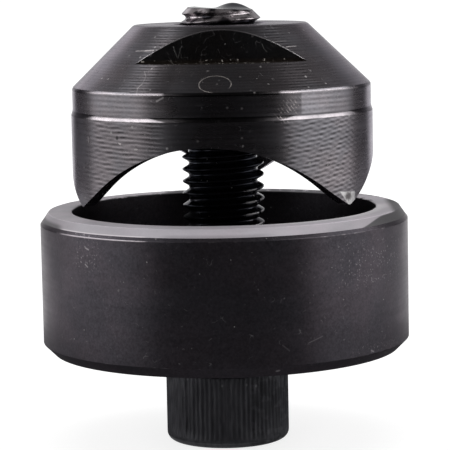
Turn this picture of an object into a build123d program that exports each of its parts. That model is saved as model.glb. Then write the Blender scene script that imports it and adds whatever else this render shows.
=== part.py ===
from build123d import *
import os
from math import cos, radians, sin, sqrt, tan

# Faucet hole punch: a hollow three-point punch, a die cup and a drive screw, all on one axis.
# Sizes are in millimetres. +Z runs up the axis, and the origin is the middle of the face that
# the tool stands on, the underside of the screw's head. The side seen from the front faces -Y.

# Drive screw
thread_diameter = 11.85
screw_length = 50.0
screw_end_chamfer = 1.0
head_diameter = 17.9
head_height = 13.6
head_edge_radius = 1.2
knurled_height = 10.3
collar_diameter = 17.3
socket_across_flats = 10.0
socket_depth = 6.0
socket_lead_in = 0.4
socket_floor_angle = 30.0

# Die cup
die_diameter = 53.4
die_height = 20.4
die_floor = 5.4
rim_chamfer_width = 0.8
rim_chamfer_height = 1.15
rim_shoulder_width = 0.4
rim_shoulder_height = 0.5
base_chamfer = 1.5
die_corner_radius = 1.0
die_hole_lead_in = 0.5

# Punch
cutting_diameter = 43.6
punch_height = 25.15
crown_wall = 1.8
hollow_depth = 11.0
hollow_corner_radius = 2.0
cutting_band_height = 12.5
relief_depth = 0.23
relief_slope_height = 0.6
cone_height = 8.8
top_diameter = 25.0
bore_lead_in = 0.8
edge_break = 0.15

# Crown of cutting points: each scallop is an arc with straight flanks, seen square to its middle
point_count = 3
scallop_radius = 23.0
flank_angle = 42.4
point_blunting = 0.1
crown_turn = -6.0
sector_overrun = 5.0
waste_overrun = 4.0

# Wrench flats on the punch's cone
across_flats = 26.0
flat_depth_from_top = 5.0

# Fits and places
punch_to_die_clearance = 0.3
die_hole_clearance = 0.08
punch_bore_clearance = 0.05
points_above_rim = 1.55

# Heights along the axis
die_base_z = head_height
rim_z = die_base_z + die_height
points_z = rim_z + points_above_rim
top_z = points_z + punch_height
screw_end_z = head_height + screw_length

# Radii worked out from the sizes above
thread_r = thread_diameter / 2
cutting_r = cutting_diameter / 2
hollow_r = cutting_r - crown_wall
mouth_r = cutting_r + punch_to_die_clearance
bore_r = thread_r + punch_bore_clearance


def turned(points):
    """A solid of revolution about Z from the corners of its half section, given as radius and height."""
    return revolve(Plane.XZ * make_face(Polyline(*points, close=True)), axis=Axis.Z)


def rounded_ring(solid, radius, height, amount):
    """The solid with the circular edge of that radius and height rounded."""
    tolerance = 1e-4
    rings = solid.edges().filter_by(GeomType.CIRCLE)
    wide = [ring for ring in rings if abs(ring.radius - radius) < tolerance]
    found = [ring for ring in wide if abs(ring.bounding_box().max.Z - height) < tolerance]
    return fillet(found, amount)


def hex_socket():
    """The key's socket: a hexagonal hole with a countersunk mouth and a drill's cone at its end."""
    sides = 6
    half_flats = socket_across_flats / 2
    corner_r = half_flats / cos(radians(180 / sides))
    hexagon = extrude(RegularPolygon(half_flats, sides, major_radius=False), socket_depth)
    cone_z = half_flats * tan(radians(socket_floor_angle))
    drill_end = Pos(0, 0, socket_depth) * turned([(0, 0), (half_flats, 0), (0, cone_z)])
    lead_in_r = corner_r + socket_lead_in
    lead_in = turned([(0, 0), (lead_in_r, 0), (0, lead_in_r)])
    return hexagon + drill_end + lead_in


def drive_screw():
    """The socket head screw, with its thread as a plain shank of the thread's outer diameter."""
    head_r = head_diameter / 2
    collar_r = collar_diameter / 2
    collar_slope_z = knurled_height + head_r - collar_r
    body = turned([
        (0, 0),
        (head_r, 0),
        (head_r, knurled_height),
        (collar_r, collar_slope_z),
        (collar_r, head_height),
        (thread_r, head_height),
        (thread_r, screw_end_z - screw_end_chamfer),
        (thread_r - screw_end_chamfer, screw_end_z),
        (0, screw_end_z),
    ])
    body = rounded_ring(body, head_r, 0, head_edge_radius)
    return body - hex_socket()


def die():
    """The cup: a flat rim with a sharp mouth, a two-step chamfer outside it, and a bored floor."""
    outer_r = die_diameter / 2
    rim_flat_r = outer_r - rim_shoulder_width - rim_chamfer_width
    shoulder_r = outer_r - rim_shoulder_width
    shoulder_z = rim_z - rim_chamfer_height
    floor_z = die_base_z + die_floor
    hole_r = thread_r + die_hole_clearance
    cup = turned([
        (hole_r + die_hole_lead_in, die_base_z),
        (outer_r - base_chamfer, die_base_z),
        (outer_r, die_base_z + base_chamfer),
        (outer_r, shoulder_z - rim_shoulder_height),
        (shoulder_r, shoulder_z),
        (rim_flat_r, rim_z),
        (mouth_r, rim_z),
        (mouth_r, floor_z),
        (hole_r + die_hole_lead_in, floor_z),
        (hole_r, floor_z - die_hole_lead_in),
        (hole_r, die_base_z + die_hole_lead_in),
    ])
    return rounded_ring(cup, mouth_r, floor_z, die_corner_radius)


def scallop_drop(sideways):
    """How far a scallop's edge lies below its top, at a distance sideways from its middle line."""
    tangent_x = scallop_radius * sin(radians(flank_angle))
    on_arc = min(abs(sideways), tangent_x)
    drop = scallop_radius - sqrt(scallop_radius**2 - on_arc**2)
    return drop + (abs(sideways) - on_arc) * tan(radians(flank_angle))


def scallop_height():
    """The height of a scallop's top above the points, which are blunted where two scallops meet."""
    return scallop_drop(cutting_r * sin(radians(180 / point_count))) - point_blunting


def scallop_section(distance):
    """The upright section of a scallop's waste, at a distance from the axis towards -Y."""
    half_sector = 180 / point_count
    steps = 26
    shares = [step / steps for step in range(steps + 1)]
    angles = [radians((half_sector + sector_overrun) * (2 * share - 1)) for share in shares]
    top = points_z + scallop_height()
    edge_points = [
        Vector(distance * tan(a), -distance, top - scallop_drop(cutting_r * sin(a))) for a in angles
    ]
    arch = Edge.make_spline(edge_points, parameters=shares)
    left, right = edge_points[0], edge_points[-1]
    low_z = points_z - waste_overrun
    below = Polyline(left, (left.X, left.Y, low_z), (right.X, right.Y, low_z), right)
    return make_face([arch, *below.edges()])


def scallop_cutter():
    """One scallop's waste, about the -Y direction: every line across its top runs level to the axis."""
    near = hollow_r * cos(radians(180 / point_count)) / 2
    far = cutting_r + waste_overrun
    return loft([scallop_section(near), scallop_section(far)], ruled=True)


def wrench_flat(side):
    """The waste above one wrench flat: side is -1 at the front and 1 at the back."""
    half_flats = across_flats / 2
    thickness = cutting_r - half_flats + waste_overrun
    height = flat_depth_from_top + waste_overrun
    middle_z = top_z - flat_depth_from_top + height / 2
    return Pos(0, side * (half_flats + thickness / 2), middle_z) * Box(cutting_diameter, thickness, height)


def punch():
    """The hollow cutter: a coned back with two wrench flats over a crown of cutting points."""
    top_r = top_diameter / 2
    band_r = cutting_r - relief_depth
    shoulder_z = top_z - cone_height
    band_z = points_z + cutting_band_height
    ceiling_z = points_z + hollow_depth
    cone_drop = edge_break * cone_height / (band_r - top_r)
    body = turned([
        (bore_r + bore_lead_in, top_z),
        (top_r - edge_break, top_z),
        (top_r + edge_break, top_z - cone_drop),
        (band_r - edge_break, shoulder_z + cone_drop),
        (band_r, shoulder_z - edge_break),
        (band_r, band_z + relief_slope_height),
        (cutting_r, band_z),
        (cutting_r, points_z),
        (hollow_r, points_z),
        (hollow_r, ceiling_z),
        (bore_r + bore_lead_in, ceiling_z),
        (bore_r, ceiling_z + bore_lead_in),
        (bore_r, top_z - bore_lead_in),
    ])
    body = rounded_ring(body, hollow_r, ceiling_z, hollow_corner_radius)
    for index in range(point_count):
        body -= Rot(0, 0, crown_turn + index * 360 / point_count) * scallop_cutter()
    for side in (-1, 1):
        body -= wrench_flat(side)
    return body


os.makedirs("parts", exist_ok=True)
export_step(die(), "parts/die.step")
export_step(punch(), "parts/punch.step")
export_step(drive_screw(), "parts/drive_screw.step")
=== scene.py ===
import logging
import math
from dataclasses import dataclass, field, replace
from enum import Enum
from functools import cached_property
from typing import Callable

import bmesh
import bpy
import numpy as np
from mathutils import Matrix, Quaternion, Vector


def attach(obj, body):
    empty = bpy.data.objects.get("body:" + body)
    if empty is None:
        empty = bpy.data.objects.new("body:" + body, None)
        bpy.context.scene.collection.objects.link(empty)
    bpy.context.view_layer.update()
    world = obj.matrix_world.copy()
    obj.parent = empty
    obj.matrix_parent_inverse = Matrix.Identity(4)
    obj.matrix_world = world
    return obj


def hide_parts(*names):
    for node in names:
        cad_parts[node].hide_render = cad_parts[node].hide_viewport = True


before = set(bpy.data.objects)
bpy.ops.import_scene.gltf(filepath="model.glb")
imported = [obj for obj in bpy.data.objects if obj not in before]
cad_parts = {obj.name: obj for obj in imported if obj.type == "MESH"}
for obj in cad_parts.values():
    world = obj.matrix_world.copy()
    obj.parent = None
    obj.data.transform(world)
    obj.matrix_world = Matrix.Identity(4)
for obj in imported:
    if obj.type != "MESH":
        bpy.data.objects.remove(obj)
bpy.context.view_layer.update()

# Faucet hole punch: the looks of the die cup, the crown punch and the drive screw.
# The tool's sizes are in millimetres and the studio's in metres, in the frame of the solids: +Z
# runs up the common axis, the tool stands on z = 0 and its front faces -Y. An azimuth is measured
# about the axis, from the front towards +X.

Array = np.ndarray
Point = tuple[float, float, float]
Colour = tuple[float, float, float]
# A small mark that can be told apart: two ends, the reach to each side, and the strength.
Mark = tuple[Point, Point, float, float]
MILLIMETRE = 0.001
# In metres: how near two points are one point, and how short an edge is none.
SAME_POINT, NO_EDGE = 4e-7, 1e-7
log = logging.getLogger("hole_punch")


class Skin(Enum):
    """The material slot of a piece that a surface takes."""

    MAIN = 0
    SECOND = 1


class Purpose(Enum):
    """The direction of a socket of a node group."""

    INPUT = "INPUT"
    OUTPUT = "OUTPUT"


# Surfaces


@dataclass
class Surface:
    """A closed sheet of quads: its points in millimetres, its faces, and what each one wears.

    Args:
        points: The corner points, one row of x, y and z each.
        faces: The quads, four indices into the points each.
        edge: For each point, 1 on a rounded edge and 0 elsewhere.
        skin: For each face, the value of its Skin.
    """

    points: Array
    faces: Array
    edge: Array
    skin: Array

    def joined(self, other: "Surface") -> "Surface":
        """The two sheets as one, with the second one's indices moved up."""
        moved = replace(other, faces=other.faces + len(self.points))
        return Surface(*map(np.concatenate, zip(vars(self).values(), vars(moved).values())))


def unit(vectors: Array) -> Array:
    """The vectors of the last axis at length one."""
    return vectors / np.linalg.norm(vectors, axis=-1, keepdims=True)


def smooth_step(low: float, high: float, values: Array) -> Array:
    """3t^2 - 2t^3, where t runs from 0 at low to 1 at high."""
    share = np.clip((values - low) / (high - low), 0.0, 1.0)
    return share * share * (3.0 - 2.0 * share)


def side_by_side(columns: int, *rows: float | Array) -> Array:
    """A grid from its rows: each is a number, a list for all columns, or an array by column."""
    blocks = [np.atleast_1d(row) for row in rows]
    return np.concatenate([np.broadcast_to(b, (columns, b.shape[-1])) for b in blocks], axis=1)


def soft_corners(corners: Array, radii: Array, closed: bool) -> tuple[Array, Array]:
    """A section with every corner rounded by an arc that touches both of its sides.

    At a corner between sides that stand at the angle b, the arc of radius R starts R / tan(b / 2)
    from the corner, and its middle lies R / sin(b / 2) from it on the halving line. The arc's
    points turn evenly from one touching point to the other. A held point just outside each end
    of an arc keeps the flat side beyond it flat when its shading is smooth.

    Args:
        corners: The section's corners as radius and height.
        radii: The rounding at each corner.
        closed: Whether the section closes on itself; an open one keeps its two ends.

    Returns:
        The points of the rounded section, and for each one 1 on an arc and 0 beside it.
    """
    arc_points, hold = 6, 0.035
    inner = slice(None) if closed else slice(1, -1)
    to_last = unit(np.roll(corners, 1, axis=0) - corners)[inner]
    to_next = unit(np.roll(corners, -1, axis=0) - corners)[inner]
    corner, radius = corners[inner], radii[inner, None]
    between = np.arccos(np.clip((to_last * to_next).sum(axis=1, keepdims=True), -1.0, 1.0))
    reach = radius / np.tan(between / 2)
    middle = corner + unit(to_last + to_next) * radius / np.sin(between / 2)
    start = (corner + to_last * reach - middle)[:, None, :]
    end = (corner + to_next * reach - middle)[:, None, :]
    sweep = (math.pi - between)[:, None, :]
    share = np.linspace(0.0, 1.0, arc_points)[None, :, None]
    arc = np.sin((1 - share) * sweep) * start + np.sin(share * sweep) * end
    arc = middle[:, None, :] + arc / np.sin(sweep)
    before = (corner + to_last * (reach + hold))[:, None, :]
    after = (corner + to_next * (reach + hold))[:, None, :]
    points = np.concatenate([before, arc, after], axis=1)
    edge = np.zeros(points.shape[:2])
    edge[:, 1:-1] = 1.0
    points, edge = points.reshape(-1, 2), edge.reshape(-1)
    if not closed:
        points = np.concatenate([corners[:1], points, corners[-1:]])
        edge = np.concatenate([[0.0], edge, [0.0]])
    return points, edge


def turned_grid(azimuths: Array, radius: Array, height: Array) -> Array:
    """Points by column and row at azimuth a: x = radius * sin a, y = -radius * cos a."""
    a = azimuths[:, None]
    return np.stack(np.broadcast_arrays(radius * np.sin(a), -radius * np.cos(a), height), axis=-1)


def ring_sheet(
    grid: Array, edge: Array, closed: bool, shift: int = 0, skin_rows: Array | None = None
) -> Surface:
    """The sheet over a grid of columns round the axis, closed from the last column to the first.

    Args:
        grid: Columns by rows by three.
        edge: For each row, 1 on a rounded edge and 0 elsewhere.
        closed: Whether the last row also meets the first.
        shift: How many rows the first column lies lower at the seam, as on a screw thread.
        skin_rows: The Skin value of the faces between each row and the next.

    Returns:
        The sheet.
    """
    columns, rows = grid.shape[:2]
    here = np.arange(columns * rows).reshape(columns, rows)
    beside = np.roll(here, -1, axis=0)
    beside[-1] = here[0, np.minimum(np.arange(rows) + shift, rows - 1)]
    above = [np.roll(block, -1, axis=1) for block in (beside, here)]
    faces = np.stack([here, beside, *above], axis=-1)
    if not closed:
        faces = faces[:, :-1]
    bands = faces.shape[1]
    skin = np.zeros(bands, dtype=int) if skin_rows is None else skin_rows[:bands]
    return Surface(
        grid.reshape(-1, 3),
        faces.reshape(-1, 4),
        np.broadcast_to(edge, (columns, rows)).reshape(-1),
        np.broadcast_to(skin, faces.shape[:2]).reshape(-1),
    )


def new_object(name: str, data: bpy.types.ID) -> bpy.types.Object:
    """An object that is linked to the scene.

    Args:
        name: The object's name.
        data: Its mesh, light or camera.

    Returns:
        The new object.
    """
    thing = bpy.data.objects.new(name, data)
    bpy.context.scene.collection.objects.link(thing)
    return thing


def mend(mesh: bpy.types.Mesh, closed: bool) -> None:
    """Merges the doubles of a mesh.

    Args:
        mesh: The mesh.
        closed: Whether it is a closed shell, whose faces are then turned outwards.
    """
    shell = bmesh.new()
    shell.from_mesh(mesh)
    bmesh.ops.remove_doubles(shell, verts=shell.verts, dist=SAME_POINT)
    if closed:
        bmesh.ops.dissolve_degenerate(shell, edges=shell.edges, dist=NO_EDGE)
        bmesh.ops.recalc_face_normals(shell, faces=shell.faces)
    shell.to_mesh(mesh)
    shell.free()


def as_piece(name: str, surface: Surface, crease: float = 31.0) -> bpy.types.Object:
    """A mesh object from a sheet, with its doubles merged and its faces pointing outwards.

    Args:
        name: The object's name.
        surface: The sheet, in millimetres.
        crease: The angle in degrees past which an edge stays sharp.

    Returns:
        The new object, at the origin, unturned and unscaled.
    """
    mesh = bpy.data.meshes.new(name)
    count = len(surface.faces)
    mesh.vertices.add(len(surface.points))
    mesh.vertices.foreach_set("co", (surface.points * MILLIMETRE).astype(np.float32).ravel())
    mesh.loops.add(count * 4)
    mesh.loops.foreach_set("vertex_index", surface.faces.astype(np.int32).ravel())
    mesh.polygons.add(count)
    mesh.polygons.foreach_set("loop_start", np.arange(0, count * 4, 4, dtype=np.int32))
    mesh.polygons.foreach_set("material_index", surface.skin.astype(np.int32))
    edge = mesh.attributes.new("edge", "FLOAT", "POINT")
    edge.data.foreach_set("value", surface.edge.astype(np.float32))
    mesh.update(calc_edges=True)
    mend(mesh, closed=True)
    mesh.shade_smooth()
    mesh.set_sharp_from_angle(angle=math.radians(crease))
    return new_object(name, mesh)


# Shader nodes


def sign(operation: str) -> Callable[["Wire", object], "Wire"]:
    """The method of a Wire that adds one operation."""
    return lambda wire, other: wire.net.maths(operation, wire, other)


class Wire:
    """A value in a node tree. Arithmetic on it adds nodes, and a | b is the larger of the two."""

    __add__, __sub__, __mul__ = sign("ADD"), sign("SUBTRACT"), sign("MULTIPLY")
    __truediv__, __or__ = sign("DIVIDE"), sign("MAXIMUM")

    def __init__(self, net: "Net", socket: bpy.types.NodeSocket) -> None:
        """Takes the socket that gives the value."""
        self.net, self.socket = net, socket

    def __rsub__(self, other: float) -> "Wire":
        """The difference from a plain number."""
        return self.net.maths("SUBTRACT", other, self)

    def __abs__(self) -> "Wire":
        """The value without its sign."""
        return self.net.maths("ABSOLUTE", self)

    def step(self, low: object, high: object) -> "Wire":
        """A smooth rise from 0 at low to 1 at high; it falls where low is the larger."""
        ends = {"Value": self, "From Min": low, "From Max": high}
        return self.net.read("ShaderNodeMapRange", "Result", ends, interpolation_type="SMOOTHSTEP")

    def band(self, low: object, full: object, last: object, high: object) -> "Wire":
        """1 from full to last, with a smooth fall to 0 at low and at high."""
        return self.step(low, full) * self.step(high, last)


class Net:
    """A hand that adds and joins shader nodes in one tree."""

    def __init__(self, tree: bpy.types.NodeTree) -> None:
        """Takes the tree and empties it."""
        self.tree = tree
        tree.nodes.clear()

    def add(self, kind: str, inputs: dict | tuple = (), **settings: object) -> bpy.types.Node:
        """A new node of a kind, with its settings.

        Args:
            kind: The node's kind.
            inputs: What goes into it, by name or in order. Wires are joined and plain values are
                set, and a colour gets its fourth part.
            settings: The node's own properties.

        Returns:
            The node.
        """
        node = self.tree.nodes.new(kind)
        for key, value in settings.items():
            setattr(node, key, value)
        for key, value in inputs.items() if isinstance(inputs, dict) else enumerate(inputs):
            socket = node.inputs[key]
            if isinstance(value, Wire):
                self.tree.links.new(value.socket, socket)
            else:
                socket.default_value = (*value, 1.0) if socket.type == "RGBA" else value
        return node

    def read(
        self, kind: str, output: str | int, inputs: dict | tuple = (), **settings: object
    ) -> Wire:
        """What a new node gives at one of its outputs."""
        return Wire(self, self.add(kind, inputs, **settings).outputs[output])

    def maths(self, operation: str, *values: object) -> Wire:
        """The result of one operation on numbers."""
        return self.read("ShaderNodeMath", 0, values, operation=operation)

    def vector(self, operation: str, *values: object) -> Wire:
        """The result of one operation on vectors."""
        output = "Value" if operation in ("DOT_PRODUCT", "LENGTH", "DISTANCE") else "Vector"
        return self.read("ShaderNodeVectorMath", output, values, operation=operation)

    def scaled(self, colour: object, factor: object) -> Wire:
        """The colour or vector times a number."""
        inputs = {0: colour, "Scale": factor}
        return self.read("ShaderNodeVectorMath", "Vector", inputs, operation="SCALE")

    def mix(self, share: object, first: object, second: object) -> Wire:
        """The colour between two colours."""
        return self.read("ShaderNodeMix", 2, {0: share, 6: first, 7: second}, data_type="RGBA")

    def noise(
        self, place: object, waves: object, detail: float = 2.0, roughness: float = 0.5
    ) -> Wire:
        """Smooth noise.

        Args:
            place: The place.
            waves: Its waves to a unit of the place, as one number or as one for each axis.
            detail: How many finer layers it has.
            roughness: How strong they are.

        Returns:
            The noise, from 0 to 1.
        """
        place = self.vector("MULTIPLY", place, waves if isinstance(waves, tuple) else (waves,) * 3)
        inputs = {"Vector": place, "Scale": 1.0, "Detail": detail, "Roughness": roughness}
        return self.read("ShaderNodeTexNoise", 0, inputs)

    def parts(self, vector: Wire) -> tuple[Wire, ...]:
        """The three parts of a vector."""
        outputs = self.add("ShaderNodeSeparateXYZ", (vector,)).outputs
        return tuple(Wire(self, part) for part in outputs)

    def whole(self, *parts: object) -> Wire:
        """A vector from three parts."""
        return self.read("ShaderNodeCombineXYZ", 0, parts)

    def radius(self, x: Wire, y: Wire) -> Wire:
        """The distance from the axis."""
        return self.vector("LENGTH", self.whole(x, y, 0.0))

    def azimuth(self, x: Wire, y: Wire) -> Wire:
        """The azimuth in radians."""
        return self.maths("ARCTAN2", x, y * -1.0)

    def shrunk(self, place: Wire, size: Wire) -> Wire:
        """The place divided by a size."""
        return self.vector("DIVIDE", place, self.whole(size, size, size))

    def edges(self) -> Wire:
        """The piece's edge attribute: 1 on a rounded edge."""
        return self.read("ShaderNodeAttribute", "Fac", attribute_name="edge")

    def drawn(self, place: Wire, lines: tuple[Mark, ...]) -> Wire:
        """The strongest of some dashes at a place: full beside a line, and 0 at its reach from it.

        The nearest place on a line lies at the share of it that the dot product gives, held
        between 0 and 1.

        Args:
            place: The place in millimetres.
            lines: Each dash's two ends, its reach to each side and its strength.

        Returns:
            The strength.
        """
        marks = 0.0
        for start, end, reach, strength in lines:
            way = Vector(end) - Vector(start)
            aside = self.vector("SUBTRACT", place, start)
            share = self.vector("DOT_PRODUCT", aside, way) / way.length_squared
            nearest = self.scaled(way, self.maths("MINIMUM", share | 0.0, 1.0))
            dash = self.vector("DISTANCE", aside, nearest).step(reach, 0.35 * reach)
            marks = dash * strength | marks
        return marks

    def effect(self, group: bpy.types.NodeTree, **values: object) -> dict[str, Wire]:
        """The outputs by name of a group placed in this tree, with its inputs by name."""
        node = self.add("ShaderNodeGroup", values, node_tree=group)
        return {output.name: Wire(self, output) for output in node.outputs}

    def rays(self) -> tuple[Wire, ...]:
        """1 each for a ray from the camera, from gloss and through glass."""
        path, kinds = self.add("ShaderNodeLightPath").outputs, ("Camera", "Glossy", "Transmission")
        return tuple(Wire(self, path[f"Is {kind} Ray"]) for kind in kinds)

    def give(self, **outputs: Wire) -> bpy.types.NodeTree:
        """Ends a node group.

        Args:
            outputs: What the group gives, by name.

        Returns:
            The group.
        """
        purpose = Purpose.OUTPUT.value
        for label in outputs:
            self.tree.interface.new_socket(label, in_out=purpose, socket_type="NodeSocketFloat")
        self.add("NodeGroupOutput", outputs)
        return self.tree


def new_effect(name: str, **inputs: str) -> tuple[Net, list[Wire]]:
    """An empty node group, whose first input is a place in millimetres.

    Args:
        name: The group's name.
        inputs: The kind of each other input, by its name.

    Returns:
        A hand on the group, and its inputs in order.
    """
    group = bpy.data.node_groups.new(name, "ShaderNodeTree")
    kinds = {"Place": "Vector", **inputs}
    purpose = Purpose.INPUT.value
    for label, kind in kinds.items():
        group.interface.new_socket(label, in_out=purpose, socket_type="NodeSocket" + kind)
    net = Net(group)
    source = net.add("NodeGroupInput")
    return net, [Wire(net, source.outputs[label]) for label in kinds]


class Effects:
    """The shared surface effects, each built once as a node group."""

    def __init__(self) -> None:
        """Builds the groups."""
        self.grain = self.turning_grain()
        self.chatter = self.chatter_marks()
        self.dust = self.dust_specks()
        self.scratch = self.fine_scratches()
        self.wear = self.edge_wear()
        self.cloud = self.colour_cloud()

    @staticmethod
    def turning_grain() -> bpy.types.NodeTree:
        """Rings that a lathe tool leaves: noise that changes fast along the section, where height
        less radius is the measure, and slowly round the axis. The even lines of its feed are
        clearest half way to the sides, and on the cone, where that measure is over 30.4.

        Returns:
            The node group.
        """
        net, (place, pitch, length, feed) = new_effect(
            "turning_grain", Pitch="Float", Length="Float", Feed="Float"
        )
        x, y, z = net.parts(place)
        radius = net.radius(x, y)
        along = z - radius
        u, v = x / length, y / length
        fine = net.noise(net.whole(u, v, along / pitch), 1.0, 3.0, 0.6)
        wide = net.noise(net.whole(u, v, along / (pitch * 7.0)), 1.0, 2.0, 0.6)
        sway = net.noise(net.whole(u, v, along * 0.7), 1.0, 1.0)
        line = net.maths("SINE", sway * 4.0 + along / feed * math.tau)
        cone = along.step(30.2, 30.6)
        far = cone * -0.18 + 0.88
        clear = (abs(x) / radius).band(0.36, 0.48, far - 0.12, far) * (cone * 0.55 + 0.45)
        clear = clear * net.noise(place, 1.6, 1.0).step(0.30, 0.60)
        return net.give(Height=fine, Bands=wide, Lines=line * (clear * 0.86 + 0.14))

    @staticmethod
    def chatter_marks() -> bpy.types.NodeTree:
        """Short dashes in rows, where two even waves cross that the tool's chatter left.

        Each wave is given as its waves per millimetre along the wall, along Y and along Z. The
        first number times the way round is whole, so the waves close. The marks are clear where
        the wall turns from the front or the back to the sides, and a noise makes them uneven.

        Returns:
            The node group.
        """
        net, (place, *given) = new_effect("chatter_marks", First="Vector", Second="Vector")
        x, y, z = net.parts(place)
        radius = net.radius(x, y)
        course = net.whole(net.azimuth(x, y) * radius, y, z)
        wavy = net.noise(place, (0.3, 0.3, 0.45)) * 3.5
        first, second = (
            net.maths("SINE", net.vector("DOT_PRODUCT", course, wave) * math.tau + wavy)
            for wave in given
        )
        clear = (abs(x) / radius).band(0.33, 0.42, 0.78, 0.90) * 0.94 + 0.06
        uneven = net.noise(place, (0.8, 0.8, 1.2), 1.0) + 0.5
        return net.give(Height=(first * 1.2 + second * 0.7) * clear * uneven * 0.25 + 0.5)

    @staticmethod
    def dust_specks() -> bpy.types.NodeTree:
        """Scattered specks: the neighbourhood of the cell points that come near the surface.

        Returns:
            The node group.
        """
        net, (place, spacing, size) = new_effect("dust_specks", Spacing="Float", Size="Float")
        spot = {"Vector": net.shrunk(place, spacing), "Scale": 1.0}
        cells = net.add("ShaderNodeTexVoronoi", spot, feature="F1")
        away, chance = (Wire(net, cells.outputs[name]) for name in ("Distance", "Color"))
        pick, _, strength = net.parts(chance)
        reach = size * (pick * 0.9 + 0.35)
        speck = (away * spacing).step(reach, reach * 0.45)
        return net.give(Mask=speck * strength.step(0.25, 1.0))

    @staticmethod
    def fine_scratches() -> bpy.types.NodeTree:
        """Short hair scratches: thin lines where one noise crosses its middle, kept in patches.

        Returns:
            The node group.
        """
        net, (place, length, share) = new_effect("fine_scratches", Length="Float", Share="Float")
        shrunk = net.shrunk(place, length)
        line = abs(net.noise(shrunk, 1.0, 1.0) - 0.5).step(0.012, 0.003)
        return net.give(Mask=line * net.noise(shrunk, 1.7).step(1.0 - share, 1.06 - share))

    @staticmethod
    def edge_wear() -> bpy.types.NodeTree:
        """Rubbed edges: the edge attribute, broken up by noise.

        Returns:
            The node group.
        """
        net, (place, edge, amount) = new_effect("edge_wear", Edge="Float", Amount="Float")
        worn = net.noise(place, 0.45, 4.0, 0.65).step(0.75 - amount * 0.5, 0.8)
        return net.give(Mask=edge * worn)

    @staticmethod
    def colour_cloud() -> bpy.types.NodeTree:
        """Slow blotches of the blackening bath, from 0 to 1.

        Returns:
            The node group.
        """
        net, (place, size) = new_effect("colour_cloud", Size="Float")
        cloud = net.noise(net.shrunk(place, size), 1.0, 3.0, 0.55)
        return net.give(Cloud=cloud.step(0.35, 0.65))


# Finishes


class Coat:
    """The colour and the roughness of a finish by place, while marks are laid on it."""

    def __init__(self, net: Net, place: Wire, colour: Wire, rough: Wire) -> None:
        """Starts from the finish's own colour and roughness, at a place in millimetres."""
        self.net, self.place, self.colour, self.rough = net, place, colour, rough
        self.x, self.y, self.z = net.parts(place)

    @cached_property
    def radius(self) -> Wire:
        """The distance from the axis."""
        return self.net.radius(self.x, self.y)

    def noise(self, waves: object, detail: float = 2.0, roughness: float = 0.5) -> Wire:
        """Smooth noise by place, in waves to the millimetre."""
        return self.net.noise(self.place, waves, detail, roughness)

    def away(self, point: Point) -> Wire:
        """The distance from a point."""
        return self.net.vector("DISTANCE", self.place, point)

    def tone(self, factor: Wire) -> None:
        """Multiplies the colour."""
        self.colour = self.net.scaled(self.colour, factor)

    def roughen(self, mask: Wire, amount: float) -> None:
        """Adds to the roughness where a mask is 1."""
        self.rough = mask * amount + self.rough

    def mark(self, mask: Wire, colour: object, share: float = 1.0, rough: float = 0.0) -> None:
        """Lays a colour on.

        Args:
            mask: 1 where the mark is.
            colour: The mark's colour.
            share: How much of the colour it takes.
            rough: How much it adds to the roughness.
        """
        self.colour = self.net.mix(mask if share == 1.0 else mask * share, self.colour, colour)
        if rough:
            self.roughen(mask, rough)


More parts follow.
